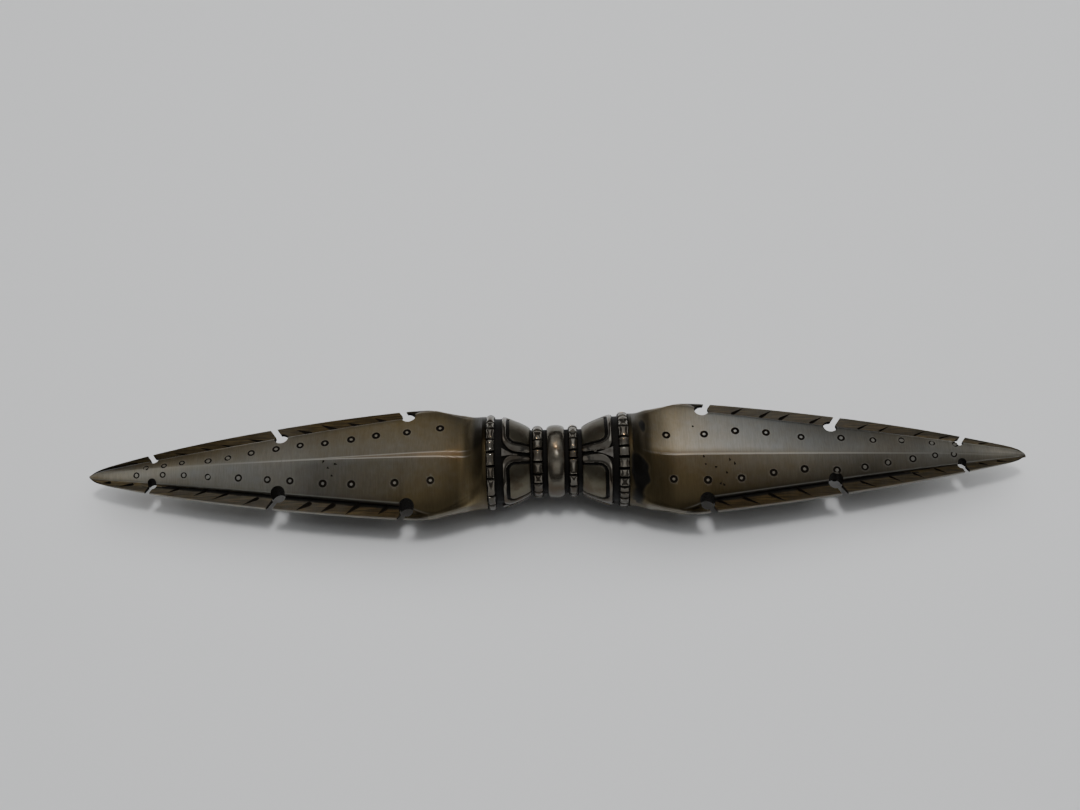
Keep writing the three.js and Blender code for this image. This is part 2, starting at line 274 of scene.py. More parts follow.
bladeFinish = {
    "steel": (0.15, 0.15, 0.14, 1),
    "blueSteel": (0.152, 0.16, 0.158, 1),
    "brown": (0.105, 0.083, 0.045, 1),
    "finDark": (0.05, 0.04, 0.024, 1),
    "finGold": (0.11, 0.082, 0.038, 1),
    "black": (0.003, 0.0026, 0.0022, 1),
    "worn": (0.55, 0.55, 0.52, 1),
    "paintedWarmSheen": (0.3, 0.2, 0.14, 1),
    "roughness": 0.35,
}


# Forged steel brushed across the blade and lengthwise on the fins. The piece carries "across" (0 ridge, 1 lobe
# edge, above 1 on the fin), a factor of painted light and shade, "brown" for heat patina, black patches that
# are partly patina and partly painted shade, "worn" for lighter edges and ridge lines, partly rubbed steel and
# partly painted highlight, and "planed" for the flat along the ridge, which takes a painted warm reflection.
def bladeSteel(tree, shader, place):
    across = carried(tree, "across")
    brush = noise(tree, place, 1900, 3, 0.6, (1.6, 0.1, 0.2))
    fineBrush = noise(tree, place, 4200, 2, 0.5, (1.4, 0.12, 0.2))
    lengthwise = noise(tree, place, 1500, 3, 0.6, (0.1, 1.6, 0.3))
    cloud = noise(tree, place, 60, 4, 0.5)
    spots = noise(tree, place, 380, 5, 0.65)
    steel = blend(tree, ranged(tree, cloud, 0.35, 0.65), bladeFinish["steel"], bladeFinish["blueSteel"])
    blotch = times(tree, minus(tree, spots, 0.5), 0.5)
    browned = plus(tree, carried(tree, "brown"), blotch, clamp=True)
    colour = blend(tree, browned, steel, bladeFinish["brown"])
    onFin = ranged(tree, across, 1.005, 1.03)
    golden = ranged(tree, plus(tree, lengthwise, times(tree, blotch, 0.5)), 0.4, 0.75)
    finTone = blend(tree, golden, bladeFinish["finDark"], bladeFinish["finGold"])
    bare = minus(tree, 0.45, times(tree, browned, 0.75), clamp=True)
    finTone = blend(tree, bare, finTone, steel)
    colour = blend(tree, onFin, colour, finTone)
    strokes = blend(tree, onFin, brush, lengthwise, kind="FLOAT")
    streaks = plus(tree, times(tree, strokes, 0.6), times(tree, fineBrush, 0.4))
    streaked = ranged(tree, streaks, 0.3, 0.7, 0.88, 1.1)
    # Brushing streaks times the painted light and shade of the faces and fins.
    grainAndPaintedLight = times(tree, streaked, carried(tree, "paintedLight"))
    colour = blend(tree, 1.0, colour, grainAndPaintedLight, "MULTIPLY")
    # A painted warm reflection on the flat along the ridge.
    planed = times(tree, carried(tree, "planed"), 0.3)
    colour = blend(tree, planed, colour, bladeFinish["paintedWarmSheen"])
    # Lighter worn marks, partly rubbed steel and partly painted highlight.
    worn = carried(tree, "worn")
    colour = blend(tree, worn, colour, bladeFinish["worn"])
    # Black from patina and painted shade, in the step and in patches at the neck.
    blackness = ranged(tree, plus(tree, carried(tree, "sootAndShade"), blotch), 0.3, 0.8)
    colour = blend(tree, blackness, colour, bladeFinish["black"])
    rough = plus(tree, bladeFinish["roughness"], times(tree, browned, 0.06))
    rough = plus(tree, rough, times(tree, minus(tree, streaks, 0.5), 0.3))
    rough = minus(tree, rough, times(tree, worn, 0.1), clamp=True)
    link(minus(tree, 1.0, blackness), shader.inputs["Metallic"])
    height = plus(tree, times(tree, streaks, 0.35), cloud)
    applyLook(tree, shader, colour, rough, height, 0.00016, 0.45)


# Old polish and oil, baked black, in the cuts.
def blackenedCut(tree, shader, place):
    crumbs = noise(tree, place, 3000, 4)
    colour = blend(tree, crumbs, (0.0025, 0.002, 0.0015, 1), (0.012, 0.009, 0.006, 1))
    applyLook(tree, shader, colour, ranged(tree, crumbs, 0.3, 0.7, 0.6, 0.9), crumbs, 0.0001, 0.6)


def rodSteel(tree, shader, place):
    turned = noise(tree, place, 1800, 4, 0.6, (2.0, 0.1, 0.1))
    colour = blend(tree, turned, (0.2, 0.195, 0.18, 1), (0.34, 0.33, 0.31, 1))
    applyLook(tree, shader, colour, ranged(tree, turned, 0.3, 0.7, 0.3, 0.5), turned, 0.00005, 0.5)


materials = {
    "hub": newMetal("hubSteel", hubSteel),
    "blade": newMetal("bladeSteel", bladeSteel),
    "cut": newMetal("blackenedCut", blackenedCut, 0.2),
    "rod": newMetal("rodSteel", rodSteel),
}
print("materials ready")

# Blades

# punchLine and punchTilt (degrees) are pairs, near the hub and near the tip. The marks change from one to the
# other over punchFade (start, length), and the hatches get narrower over hatchFade.
anyBlade = {
    "flangeRadius": 12.8, "flangeLength": 0.9,
    "neckEnd": 26.5, "neckHalfThickness": 5.4, "neckSquareness": 3.2,
    "shoulder": 38, "shoulderEdge": 1.5, "heightFall": 0.5, "noseSharpness": 7, "noseReach": 3,
    "shoulderRound": 0.55, "roofRound": 0.86, "finHalfThickness": 0.6, "finRootHalfThickness": 0.85,
    "rebateStart": 32.5, "rebateFull": 43, "lobeShareAtShoulder": 0.8, "lobeShareLoss": 0.3, "tipDroop": 3,
    "keyholePlaces": [41, 76.5, 112], "keyholeRadii": [2.1, 2, 1.25], "slotWidths": [1.7, 1.7, 1.3],
    "slotLean": 35, "outOfLobe": 0.1,
    "punchRadius": 0.78, "punchLine": (0.38, 0.24), "punchTilt": (8, 17), "punchFade": (55, 45),
    "punchSizes": (0.94, 1.04), "smallPunch": 0.88, "smallPunchFrom": 100,
    "hatchDepth": 0.55, "hatchStretch": 1.15, "hatchNarrowing": 0.45, "hatchFade": (65, 30),
    "pitLength": (0.65, 1.05), "pitWidth": (0.48, 0.65), "pitDepth": 0.36,
    "noseLength": 14, "stations": (44, 34, 130, 46),  # mesh rows of neck, rebate, body and nose
}

# punches and pits are places (s, y) on the upper face, far side positive. hatches run on the fins from
# (s, y) at their broad end to (s, y) at their point. The black patches are (s, y, half length, half width,
# strength), partly black patina and partly painted shade. The lists of painted light and shade for the face,
# finTone (painted light and shade for the fin), the painted shade towards the face's edge and brown give
# (s, near face, far face): how light the face and the fin are painted, how much darker the face is painted to
# its edge, and how brown it is. A share paints a warm reflection, a painted highlight, on the flat along the
# ridge.
leftBlade = {
    **anyBlade,
    "name": "leftBlade", "node": "left_blade", "side": -1,
    "neckHalfWidth": 13.3, "shoulderHalfWidth": 16.7, "bellyPower": 1.25, "tipPower": 0.71, "noseSwell": 0.45,
    "ridgeHeight": 5.9, "lobeEdgeHeight": 3.3, "crestOffset": 0.3, "planeWidth": 0.85, "planeEnd": 72,
    "hatchWidth": 1.4,
    "punches": [
        (113.8, 0.7), (108.7, 1), (103.7, 1.6), (96.3, 1.7), (90.8, 2.3), (84.4, 3.6), (77.5, 4.5),
        (70.8, 5.3), (63.9, 5.6), (56.6, 6.4), (49.7, 7.3), (41.1, 7.9), (31.9, 8.9),
        (116.4, -1.2), (108.9, -1.6), (102.9, -2.1), (96.1, -3), (87.5, -3.8), (79.4, -4.7),
        (73.1, -5.4), (64, -6.6), (56.1, -7.2), (44.2, -7.4), (34.4, -7.1),
    ],
    "hatches": [
        (47.4, 12.9, 50.6, 14.6), (54.5, 11.2, 58.1, 13.3), (61.1, 10.2, 65.6, 13), (68, 8.9, 72.4, 11.7),
        (81.4, 7.1, 86.1, 9.3), (90.2, 5.8, 93.7, 8), (96.2, 5.2, 99.5, 7.3), (102.9, 4.1, 106.7, 5.9),
        (116.9, 2.3, 119.9, 3.4), (121.9, 1.9, 124.2, 2.8),
        (46.4, -12.9, 48.8, -14.9), (54.1, -11.9, 57.7, -14.9), (60.9, -11.6, 64.6, -14.4),
        (67.5, -11, 71.4, -13.3), (82.1, -8.9, 86.2, -10.7), (90.3, -7.1, 94.8, -8.7),
        (96.6, -5.9, 100.2, -7.4), (104.2, -4.6, 107.5, -6.1), (117.5, -2.7, 121.5, -3.8),
        (123.9, -1.7, 126.4, -2.6),
    ],
    "pits": [(64, -0.6), (60.5, -1.4), (61.5, -4.6), (62.6, -2.4)],
    "sootAndShadePatches": [(23.4, 7, 1.1, 5.5, 0.5)],
    "paintedLight": [
        (19, 0.5, 0.12), (22, 1.2, 0.3), (24, 1.8, 1.5), (27, 0.6, 0.95), (31, 0.66, 1.35), (45, 0.82, 1.5),
        (66, 0.84, 1.5), (75, 1.4, 1.7), (101, 2.2, 2.2), (108, 2.7, 2.2), (123, 4.6, 0.5),
    ],
    "paintedEdgeShade": [
        (26, 0, 0), (31, 0.3, -0.25), (54, 0.15, -0.25), (70, 0.2, 0.05), (92, 0.2, 0.2), (107, 0.6, 1.2),
    ],
    "finTone": [(50, 0.8, 0.8), (80, 1.2, 1.05), (125, 1.6, 0.9)], "paintedWarmSheenShare": 0.35,
    "brown": [
        (19, 1, 1), (26, 1, 0.9), (36, 0.85, 0.75), (66, 0.25, 0.6), (75, 0.2, 0.4), (94, 0.3, 0.65),
        (112, 0.3, 0.75), (130, 0.6, 0.8),
    ],
    "seed": 5,
}
rightBlade = {
    **anyBlade,
    "name": "rightBlade", "node": "right_blade", "side": 1,
    "neckHalfWidth": 14, "shoulderHalfWidth": 16.89, "bellyPower": 1.15, "tipPower": 0.74, "noseSwell": 0.6,
    "ridgeHeight": 4.4, "lobeEdgeHeight": 2.8, "crestOffset": -0.8, "planeWidth": 0.16, "planeEnd": 200,
    "hatchWidth": 0.95,
    "punches": [
        (30.6, 5.3), (41.1, 5.5), (49.8, 6.5), (58.3, 5.9), (67.9, 4.4), (79, 4.1), (87.8, 3.4),
        (95.8, 3.4), (104.2, 2.6), (110.7, 2.3),
        (32, -8), (41.3, -8.4), (50.5, -7.9), (59.4, -6.4), (68, -5.4), (76.9, -5.7), (84.7, -4.8),
        (91.2, -3.5), (98.2, -2.4), (104.5, -1.4), (109.8, -1),
    ],
    "hatches": [
        (49.6, 13.1, 52.8, 14.9), (57.4, 11.9, 60.6, 13.9), (62.7, 11.1, 65.9, 12.9), (71.2, 9.8, 74.6, 11.7),
        (84.4, 7.8, 87.6, 9.4), (90.3, 7.1, 93.2, 8.6), (99.9, 5.6, 103.2, 7.2), (106.8, 4.7, 110.2, 5.9),
        (117.6, 2.9, 120.8, 3.9),
        (43.8, -13.4, 47.6, -15.1), (50.6, -12.6, 55.4, -15), (57.8, -11.6, 62.2, -13.9),
        (65.6, -10.2, 69.6, -12.4), (83.3, -8.3, 87.6, -10.3), (91.3, -6.8, 94.9, -8.5),
        (98, -5.9, 101, -7.3), (104.3, -4.5, 107.7, -6), (116.8, -2.6, 119.4, -3.5),
        (122, -2, 124.9, -2.9),
    ],
    "pits": [
        (40.5, -1.5), (40.9, -3.8), (43.8, -4.7), (47.6, -2.5), (48.9, -3.6), (46.6, -6.2),
        (44.8, -9.3), (45.6, -9.7), (38.1, 8.2),
    ],
    "sootAndShadePatches": [(22.9, -7.6, 2.8, 6.2, 1.2), (24, 7.4, 1.4, 3.4, 0.85)],
    "paintedLight": [
        (19, 0.4, 0.12), (24, 0.8, 0.8), (27, 0.5, 1.65), (31, 0.56, 2.5), (45, 0.66, 1.85),
        (66, 0.92, 1.22), (75, 0.87, 1), (86, 0.78, 1.08), (101, 1.15, 1.35), (107, 1.28, 2), (115, 1.4, 2.4),
        (123, 2.6, 4.5),
    ],
    "paintedEdgeShade": [
        (26, 0, 0), (36, 0.9, 0.35), (60, 1.25, 0.5), (86, 0.9, 0.5), (94, 0.4, 0), (107, 0.4, -0.1),
        (125, 0.6, 0.8),
    ],
    "finTone": [(50, 0.68, 0.82), (85, 0.85, 1.1), (125, 1.1, 1.2)], "paintedWarmSheenShare": 0,
    "brown": [
        (19, 1, 0.95), (31, 1, 0.7), (45, 0.75, 0.12), (70, 0.5, 0.12), (94, 0.4, 0.35), (130, 0.35, 0.25),
    ],
    "seed": 9,
}


for blade in (leftBlade, rightBlade):
    blade["root"] = reachOf(blade["node"])[0]


def taper(s, blade):
    return unit((s - blade["shoulder"]) / (halfLength - blade["shoulder"]))


# How far the fins' rebate has opened, from 0 at its point to 1.
def opening(s, blade):
    return unit((s - blade["rebateStart"]) / (blade["rebateFull"] - blade["rebateStart"]))


# Half width at s: a smooth swell from the neck to the shoulder, then the shoulder's width times
# (1 - share of the way to the tip ^ belly) ^ tip. The blunt nose adds swell * n * e^(1 - n), where n is the
# distance from the end over noseReach.
def halfWidth(s, blade):
    root = blade["root"]
    swell = smooth((s - root) / (blade["shoulder"] - root))
    neck = mix(blade["neckHalfWidth"], blade["shoulderHalfWidth"], swell)
    body = blade["shoulderHalfWidth"] * (1 - taper(s, blade) ** blade["bellyPower"]) ** blade["tipPower"]
    fromNose = (halfLength - s) / blade["noseReach"]
    return np.where(s < blade["shoulder"], neck, body + blade["noseSwell"] * fromNose * np.exp(1 - fromNose))


# Half width of the raised lobe: all of the blade before the rebate and a falling share of it after.
def lobeWidth(s, blade):
    share = blade["lobeShareAtShoulder"] - blade["lobeShareLoss"] * taper(s, blade)
    return halfWidth(s, blade) * mix(1, share, opening(s, blade))


# Height factor along the blade, 1 at the shoulder and closing in a round nose.
def heightShare(s, blade):
    u = taper(s, blade)
    return (1 - blade["heightFall"] * u) * np.sqrt(np.maximum(0, 1 - u ** blade["noseSharpness"]))


def droop(s, blade):
    root = blade["root"]
    return -blade["tipDroop"] * (np.maximum(0, s - root) / (halfLength - root)) ** 2


# How far the round neck has turned into the flat blade, from 0 to 1.
def flatness(s, blade):
    root = blade["root"]
    return smooth((s - root - blade["flangeLength"]) / (blade["rebateStart"] - root))


# Half width of the flat planed along the ridge. It narrows evenly to planeEnd.
def planeHalf(s, blade):
    return blade["planeWidth"] * np.clip((blade["planeEnd"] - s) / (blade["planeEnd"] - 25), 0.12, 1)


# Height of the lobe's face at s and share k across it (0 ridge, 1 edge): from the edge's height up to the
# ridge's by (1 - k) ^ bulge, with the planed flat along the crest.
def roofHeight(s, k, blade):
    height = heightShare(s, blade)
    opened = smooth(opening(s, blade))
    ridge = blade["ridgeHeight"] * height
    corner = mix(blade["shoulderEdge"], blade["lobeEdgeHeight"] * height, opened)
    bulge = mix(blade["shoulderRound"], blade["roofRound"], opened)
    plane = planeHalf(s, blade) / np.maximum(1.5, lobeWidth(s, blade))
    lifted = np.maximum(0, k - plane) / (1 - plane)
    return corner + (ridge - corner) * (1 - lifted) ** bulge


# Places round one quarter of a section, from the middle of the edge (-1) over fin (0 to 1), step (1 to 2)
# and lobe (2 to 6, the ridge).
def quarterPlaces():
    edge = [-1, -0.55, -0.15]
    fin = [0, 0.05, 0.12, 0.24, 0.4, 0.55, 0.7, 0.85, 0.94]
    step = [1, 1.12, 1.35, 1.6, 1.8, 1.93]
    face = [0, 0.008, 0.02, 0.045, *np.linspace(0.08, 0.88, 22), 0.92, 0.95, 0.975, 1]
    return np.array(edge + fin + step + (2 + 4 * np.array(face)).tolist())


# One quarter of every section, as y and z on a grid of stations by places. The flat blade's quarter is
# edge, fin, step and roof; the neck's is a superellipse whose power falls to 2 at the round flange; the
# flatness along the neck blends the two.
def quarterSections(stations, blade):
    root = blade["root"]
    v = quarterPlaces()[None, :]
    s = stations[:, None]
    wide, lobe = halfWidth(s, blade), lobeWidth(s, blade)
    height = heightShare(s, blade)
    opened = smooth(opening(s, blade))
    corner = roofHeight(s, np.ones_like(s), blade)
    finEdge = blade["finHalfThickness"] * np.minimum(1, height * 1.6)
    finRoot = mix(corner * 0.7, np.minimum(blade["finRootHalfThickness"], corner * 0.7), opened)
    rootY = mix(wide * 0.995, lobe + np.minimum(0.25, (wide - lobe) * 0.2), opened)
    cornerY = np.minimum(lobe, wide * 0.985)
    onFin, onStep = unit(v), unit(v - 1)
    roundEdge = 0.22 * unit(v + 1) ** 3 * (1 - smooth(v * 4))
    k = np.interp(v, [2, 3, 4, 5, 6], [1, 0.66, 0.33, 0.08, 0])
    paintedSideShade = 0.16 * opened * soften((v - 2) / 0.09)
    finY = mix(wide, rootY, onFin) - roundEdge * (1 - opened * 0.5)
    flatY = np.where(v <= 1, finY, mix(rootY, cornerY, onStep))
    flatY = np.where(v > 2, cornerY * k, flatY)
    flatZ = np.where(v <= 1, mix(finEdge, finRoot, onFin), mix(finRoot, corner, onStep))
    flatZ = np.where(v > 2, roofHeight(s, k, blade), flatZ) - paintedSideShade * np.minimum(1, height)
    flatZ = np.where(v < 0, finEdge * (v + 1), flatZ)
    angles = [0, 12, 27, 42, 57, 72, 84, 90]
    around = np.radians(np.interp(v, [-1, 0, 1, 2, 3, 4, 5, 6], angles))
    fall = unit((s - root - blade["flangeLength"]) / (blade["neckEnd"] - root))
    neckWide = mix(blade["flangeRadius"], wide, smooth(fall * 1.4))
    neckHigh = mix(blade["neckHalfThickness"], blade["flangeRadius"], (1 - fall) ** 2.6)
    power = 2 / mix(blade["neckSquareness"], 2, (1 - fall) ** 2)
    neckY = neckWide * np.maximum(0, np.cos(around)) ** power
    neckZ = neckHigh * np.sin(around) ** power
    flat = flatness(s, blade)
    return mix(neckY, flatY, flat), mix(neckZ, flatZ, flat)


# The whole uncut blade: each quarter section mirrored up, down and sideways, the crest moved aside by
# offset * (1 - |y| / lobe), and the whole bowed down to the tip.
def bladeSkin(blade):
    neckRows, rebateRows, bodyRows, noseRows = blade["stations"]
    nose = blade["noseLength"]
    stations = np.concatenate([
        np.linspace(blade["root"], blade["rebateStart"], neckRows)[:-1],
        np.linspace(blade["rebateStart"], blade["rebateFull"], rebateRows)[:-1],
        np.linspace(blade["rebateFull"], halfLength - nose, bodyRows)[:-1],
        halfLength - nose * np.linspace(1, 0.0036, noseRows) ** 1.6,
    ])
    y, z = quarterSections(stations, blade)
    upperY = np.concatenate([y, -y[:, -2::-1]], 1)
    upperZ = np.concatenate([z, z[:, -2::-1]], 1)
    loopY = np.concatenate([upperY, -upperY[:, 1:-1]], 1)
    loopZ = np.concatenate([upperZ, -upperZ[:, 1:-1]], 1)
    s = stations[:, None]
    aside = blade["crestOffset"] * flatness(s, blade) * np.maximum(0, 1 - np.abs(loopY) / lobeWidth(s, blade))
    x = np.broadcast_to(blade["side"] * s, loopY.shape)
    points = np.stack([x, loopY + aside, loopZ + droop(s, blade)], -1)
    return gridPiece(blade["name"], points, flip=blade["side"] < 0)


# Quads between a loop of n points and the next n points.
def wallFaces(n):
    around = np.arange(n)
    nextOne = np.roll(around, -1)
    return np.stack([around, nextOne, nextOne + n, around + n], -1)


# Cutter for a keyhole: a circle that runs into a leaning slot, drawn once and carried through the blade.
def keyholeCutter(blade, i, hand):
    place, radius, half = blade["keyholePlaces"][i], blade["keyholeRadii"][i], blade["slotWidths"][i] / 2
    centre = lobeWidth(place, blade) + blade["outOfLobe"]
    lean = math.radians(blade["slotLean"])
    along = np.array([math.sin(lean), math.cos(lean)])
    beside = np.array([math.cos(lean), -math.sin(lean)])
    reach = 2 * (halfWidth(place, blade) - centre) + radius
    mouth = math.asin(half / radius)
    turns = np.linspace(mouth, 2 * np.pi - mouth, 40)[:, None]
    ring = radius * (np.cos(turns) * along + np.sin(turns) * beside)
    far = np.stack([reach * along - half * beside, reach * along + half * beside])
    outline = np.concatenate([ring, far]) + [place, centre]
    tall = 3 * blade["ridgeHeight"]
    x, y = blade["side"] * outline[:, 0], hand * outline[:, 1]
    low, high = [np.stack([x, y, np.full_like(x, z)], -1) for z in (-tall, tall)]
    n = len(x)
    faces = wallFaces(n).tolist() + [list(range(n))[::-1], list(range(n, 2 * n))]
    if (hand > 0) == (blade["side"] > 0):
        faces = [face[::-1] for face in faces]
    return np.concatenate([low, high]), faces


# Where a line straight down, or up for the underside, meets the uncut blade at (s, y): the point, the
# outward normal and the direction in the face that runs to the tip.
def seatOn(skin, blade, s, y, up):
    start = Vector((blade["side"] * s, y, axisHeight + up * 40)) * mm
    hit, normal, _, _ = skin.ray_cast(start, Vector((0, 0, -up)))
    normal = np.array(normal)
    tipward = np.array([blade["side"], 0, 0]) - blade["side"] * normal[0] * normal
    return np.array(hit) / mm - [0, 0, axisHeight], normal, tipward / np.linalg.norm(tipward)


# Cutter for a punched ring: a thin torus that lies in the face, tilted a little as the punch was held.
def punchCutter(origin, normal, along, radius, line, lean, turned):
    beside = np.cross(normal, along)
    way = math.cos(turned) * along + math.sin(turned) * beside
    normal = normal * math.cos(lean) + way * math.sin(lean)
    beside = np.cross(normal, along)
    beside = beside / np.linalg.norm(beside)
    along = np.cross(beside, normal)
    turn = np.linspace(0, 2 * np.pi, 30, endpoint=False)[:, None, None]
    spin = np.linspace(0, 2 * np.pi, 8, endpoint=False)[None, :, None]
    out = radius + line * np.cos(spin)
    points = origin + out * (np.cos(turn) * along + np.sin(turn) * beside) + line * np.sin(spin) * normal
    quads = gridFaces(*points.shape[:2], True)[1][:, [0, 3, 2, 1]]
    return points.reshape(-1, 3), quads.tolist()


# Cutter for a chisel nick: a drop-shaped outline in the face, broad near its start and pointed at its end,
# drawn up to a lid above the face and down to one deepest point.
def nickCutter(origin, normal, along, length, width, depth):
    beside = np.cross(normal, along)
    share = np.array([0, 0.07, 0.2, 0.45, 0.75, 1, 0.75, 0.45, 0.2, 0.07])
    half = np.array([0.2, 0.85, 1, 0.75, 0.38, 0, -0.38, -0.75, -1, -0.85])
    outline = origin + np.outer((share - 0.5) * length, along) + np.outer(half * width / 2, beside)
    deepest = origin - 0.3 * length * along - depth * normal
    tops = outline + depth * normal
    n = len(outline)
    walls = wallFaces(n)
    deep = np.insert(walls[:, :2], 0, 2 * n, 1)
    lid = list(range(n, 2 * n))[::-1]
    return np.concatenate([outline, tops, deepest[None]]), walls[:, ::-1].tolist() + deep.tolist() + [lid]


# A hatch is seated at its middle and held on the fin, clear of the step and of the outer edge.
def hatchCutter(skin, blade, hatch, up):
    s, y = np.array(hatch[0::2]), np.array(hatch[1::2])
    hand = np.sign(y[0])
    inner, outer = lobeWidth(s, blade) + 0.45, halfWidth(s, blade) - 0.35
    y = hand * np.clip(np.abs(y), inner, np.maximum(inner + 0.1, outer))
    origin, normal, _ = seatOn(skin, blade, s.mean(), y.mean(), up)
    run = np.array([blade["side"] * (s[1] - s[0]), y[1] - y[0], 0])
    along = run - run.dot(normal) * normal
    along, length = along / np.linalg.norm(along), np.linalg.norm(along) * blade["hatchStretch"]
    start, long = blade["hatchFade"]
    width = blade["hatchWidth"] * (1 - blade["hatchNarrowing"] * smooth((s.mean() - start) / long))
    return nickCutter(origin, normal, along, length, width, blade["hatchDepth"])


# All cutters of a blade in one mesh. What lies on the upper face is repeated on the lower one.
def bladeCutters(blade, piece):
    skin = BVHTree.FromPolygons([v.co for v in piece.data.vertices], [p.vertices for p in piece.data.polygons])
    made = np.random.default_rng(blade["seed"])
    cutters = []
    for up in (1, -1):
        for s, y in blade["punches"]:
            small = 1 if s < blade["smallPunchFrom"] else blade["smallPunch"]
            size = made.uniform(*blade["punchSizes"]) * small
            faint = smooth((s - blade["punchFade"][0]) / blade["punchFade"][1])
            lean = math.radians(made.uniform(0.2, 1) * mix(*blade["punchTilt"], faint))
            turned = made.uniform(0, 2 * np.pi)
            seat = seatOn(skin, blade, s, y, up)
            line = mix(*blade["punchLine"], faint) * size
            cutters.append(punchCutter(*seat, blade["punchRadius"] * size, line, lean, turned))
        for hatch in blade["hatches"]:
            cutters.append(hatchCutter(skin, blade, hatch, up))
        for s, y in blade["pits"]:
            origin, normal, along = seatOn(skin, blade, s, y, up)
            turned = made.uniform(0, np.pi)
            along = math.cos(turned) * along + math.sin(turned) * np.cross(normal, along)
            length, width = made.uniform(*blade["pitLength"]), made.uniform(*blade["pitWidth"])
            cutters.append(nickCutter(origin, normal, along, length, width, blade["pitDepth"]))
    for i in range(len(blade["keyholePlaces"])):
        cutters += [keyholeCutter(blade, i, 1), keyholeCutter(blade, i, -1)]
    faces, count = [], 0
    for some, its in cutters:
        faces += [[corner + count for corner in face] for face in its]
        count += len(some)
    return meshPiece(blade["name"] + "Cutters", np.concatenate([some for some, _ in cutters]), faces)


def cutAway(piece, cutters):
    cut = piece.modifiers.new("cuts", "BOOLEAN")
    cut.operation = "DIFFERENCE"
    cut.solver = "MANIFOLD"
    cut.object = cutters
    cut.material_mode = "TRANSFER"
    bpy.context.view_layer.update()
    done = bpy.data.meshes.new_from_object(piece.evaluated_get(bpy.context.evaluated_depsgraph_get()))
    piece.modifiers.clear()
    old, piece.data = piece.data, done
    bpy.data.meshes.remove(old)
    bpy.data.objects.remove(cutters)


# Value for the near and far face at s from a list of (s, near, far), changing softly over the ridge.
def faceValue(s, y, table, soft=1.5):
    places, near, far = np.array(table).T
    return mix(np.interp(s, places, near), np.interp(s, places, far), smooth(y / soft / 2 + 0.5))


# Lighter worn marks as (strength, reach in mm), partly rubbed steel and partly painted highlight; the ridge's
# two lines are painted highlights. The halo is round the punch marks. The ridge's two lines and the grime in
# the fins' step, which is partly black patina and partly painted shade, are given for the near face and the far
# one.
wearAndPaintedLight = {
    "rim": (0.18, 0.2), "lip": (0.35, 0.14), "punch": (0.22, 0.6), "halo": (0.07, 1.3),
    "ridge": (0.72, 0.45), "ridgeReach": 0.13, "ridgeStart": 22.5, "grime": 1.2, "stepGrimeAndShadeReach": (0.85, 0.5),
}


